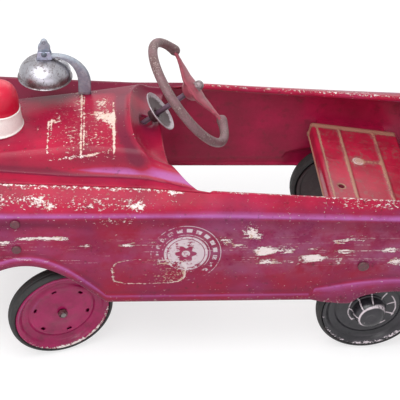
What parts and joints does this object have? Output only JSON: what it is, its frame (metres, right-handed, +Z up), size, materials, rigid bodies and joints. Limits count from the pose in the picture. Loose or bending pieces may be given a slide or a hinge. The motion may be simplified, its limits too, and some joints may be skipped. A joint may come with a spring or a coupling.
{
  "type": "pedal car",
  "caption": "Child's pressed-steel pedal car with a fire chief's bell and beacon on the hood, working crank drive and linked steering.",
  "frame": {"origin": "on the floor, midway between the axles and midway between the sides", "axes": "+X forwards to the nose, +Y to the left of a child in the seat, +Z up"},
  "size_m": [1.0043, 0.4666, 0.5989],
  "materials": {
    "body_paint": "glossy enamel, chipped and worn",
    "seat_paint": "enamel worn at the edges",
    "inner_paint": "dull enamel",
    "wheel_paint": "glossy enamel",
    "cap_paint": "black enamel with a hand-painted pale ring",
    "wheel_rim_paint": "enamel worn to the metal",
    "tyre": "old solid rubber",
    "pedal_rubber": "ribbed rubber",
    "worn_chrome": "tarnished",
    "bare_steel": "darkened with age",
    "cast_metal": "worn plating",
    "brass": "dull",
    "beacon_cream": "aged gloss",
    "beacon_red": "gloss"
  },
  "bodies": {
    "chassis": {"hood_panel": "body_paint", "side_panel_left": "body_paint", "side_panel_right": "body_paint", "rear_deck": "body_paint", "nose_panel": "body_paint", "dash_brace": "inner_paint", "front_frame": "inner_paint", "front_axle": "bare_steel", "kingpins": "bare_steel", "column_bracket": "inner_paint", "axle_hanger_left": "inner_paint", "axle_hanger_right": "inner_paint", "axle_bushes": "brass", "pivot_rod": "bare_steel", "seat_pan": "seat_paint", "seat_brackets": "inner_paint", "seat_bolts": "bare_steel", "nose_screws": "bare_steel", "bell_dome": "worn_chrome", "bell_bracket": "cast_metal", "bell_rivet": "bare_steel", "beacon_base": "beacon_cream", "beacon_lens": "beacon_red"},
    "steering": {"steering_column": "bare_steel", "steering_wheel": "wheel_rim_paint", "steering_nut": "worn_chrome", "collar_plate": "worn_chrome"},
    "knuckle_left": {"knuckle_left": "bare_steel", "spindle_nut_left": "bare_steel"},
    "knuckle_right": {"knuckle_right": "bare_steel", "spindle_nut_right": "bare_steel"},
    "tie_rod": {"tie_rod": "bare_steel", "tie_rod_pins": "bare_steel"},
    "front_wheel_left": {"front_tyre_left": "tyre", "front_disc_left": "wheel_paint"},
    "front_wheel_right": {"front_tyre_right": "tyre", "front_disc_right": "wheel_paint"},
    "rear_axle": {"rear_axle": "bare_steel", "rear_disc_left": "cap_paint", "rear_tyre_left": "tyre", "hubcap_left": "cap_paint"},
    "rear_wheel_right": {"rear_disc_right": "cap_paint", "rear_tyre_right": "tyre", "hubcap_right": "cap_paint"},
    "push_rod_left": {"push_rod_left": "bare_steel"},
    "push_rod_right": {"push_rod_right": "bare_steel"},
    "pedal_left": {"pedal_left": "pedal_rubber"},
    "pedal_right": {"pedal_right": "pedal_rubber"},
    "hanger_arm_left": {"hanger_arm_left": "bare_steel"},
    "hanger_arm_right": {"hanger_arm_right": "bare_steel"},
    "bell_lever": {"bell_lever": "cast_metal"}
  },
  "joints": [
    {"name": "steering_turn", "type": "hinge", "parent": "chassis", "child": "steering", "pos_m": [0.036, 0, 0.485], "axis": [-0.766, 0, 0.6428], "range_deg": [-41.5, 8.5]},
    {"name": "knuckle_left_turn", "type": "hinge", "parent": "chassis", "child": "knuckle_left", "pos_m": [0.304, 0.15, 0.1016], "axis": [0, 0, 1], "range_deg": [-41.5, 8.5]},
    {"name": "knuckle_right_turn", "type": "hinge", "parent": "chassis", "child": "knuckle_right", "pos_m": [0.304, -0.15, 0.1016], "axis": [0, 0, 1], "range_deg": [-41.5, 8.5]},
    {"name": "tie_rod_turn", "type": "hinge", "parent": "knuckle_left", "child": "tie_rod", "pos_m": [0.23688, 0.13012, 0.1293], "axis": [0, 0, 1], "range_deg": [-8.5, 41.5]},
    {"name": "front_wheel_left_spin", "type": "hinge", "parent": "knuckle_left", "child": "front_wheel_left", "pos_m": [0.29179, 0.19123, 0.1016], "axis": [-0.284, 0.9588, 0], "continuous": true},
    {"name": "front_wheel_right_spin", "type": "hinge", "parent": "knuckle_right", "child": "front_wheel_right", "pos_m": [0.31621, -0.19123, 0.1016], "axis": [-0.284, 0.9588, 0], "continuous": true},
    {"name": "rear_axle_turn", "type": "hinge", "parent": "chassis", "child": "rear_axle", "pos_m": [-0.304, 0, 0.1016], "axis": [0, 1, 0], "continuous": true},
    {"name": "rear_wheel_right_spin", "type": "hinge", "parent": "rear_axle", "child": "rear_wheel_right", "pos_m": [-0.304, -0.193, 0.1016], "axis": [0, 1, 0], "continuous": true},
    {"name": "push_rod_left_turn", "type": "hinge", "parent": "rear_axle", "child": "push_rod_left", "pos_m": [-0.259, 0.058, 0.1016], "axis": [0, 1, 0], "continuous": true},
    {"name": "push_rod_right_turn", "type": "hinge", "parent": "rear_axle", "child": "push_rod_right", "pos_m": [-0.349, -0.058, 0.1016], "axis": [0, 1, 0], "continuous": true},
    {"name": "pedal_left_turn", "type": "hinge", "parent": "push_rod_left", "child": "pedal_left", "pos_m": [0.14518, 0.06, 0.13615], "axis": [0, 1, 0], "continuous": true},
    {"name": "pedal_right_turn", "type": "hinge", "parent": "push_rod_right", "child": "pedal_right", "pos_m": [0.05518, -0.06, 0.13615], "axis": [0, 1, 0], "continuous": true},
    {"name": "hanger_arm_left_swing", "type": "hinge", "parent": "chassis", "child": "hanger_arm_left", "pos_m": [0.15, 0.048, 0.325], "axis": [0, 1, 0], "range_deg": [0, 27.35]},
    {"name": "hanger_arm_right_swing", "type": "hinge", "parent": "chassis", "child": "hanger_arm_right", "pos_m": [0.15, -0.048, 0.325], "axis": [0, 1, 0], "range_deg": [-27.35, 0]},
    {"name": "bell_lever_swing", "type": "hinge", "parent": "chassis", "child": "bell_lever", "pos_m": [0.32, -0.08, 0.506], "axis": [0, 1, 0], "range_deg": [-3.5, 20]}
  ],
  "couplings": [
    {"joint": "knuckle_left_turn", "follows": "steering_turn", "ratio": 1},
    {"joint": "knuckle_right_turn", "follows": "steering_turn", "ratio": 1},
    {"joint": "tie_rod_turn", "follows": "steering_turn", "ratio": -1},
    {"joint": "push_rod_left_turn", "follows": "rear_axle_turn", "ratio": -1},
    {"joint": "push_rod_right_turn", "follows": "rear_axle_turn", "ratio": -1},
    {"joint": "hanger_arm_right_swing", "follows": "hanger_arm_left_swing", "ratio": -1}
  ]
}
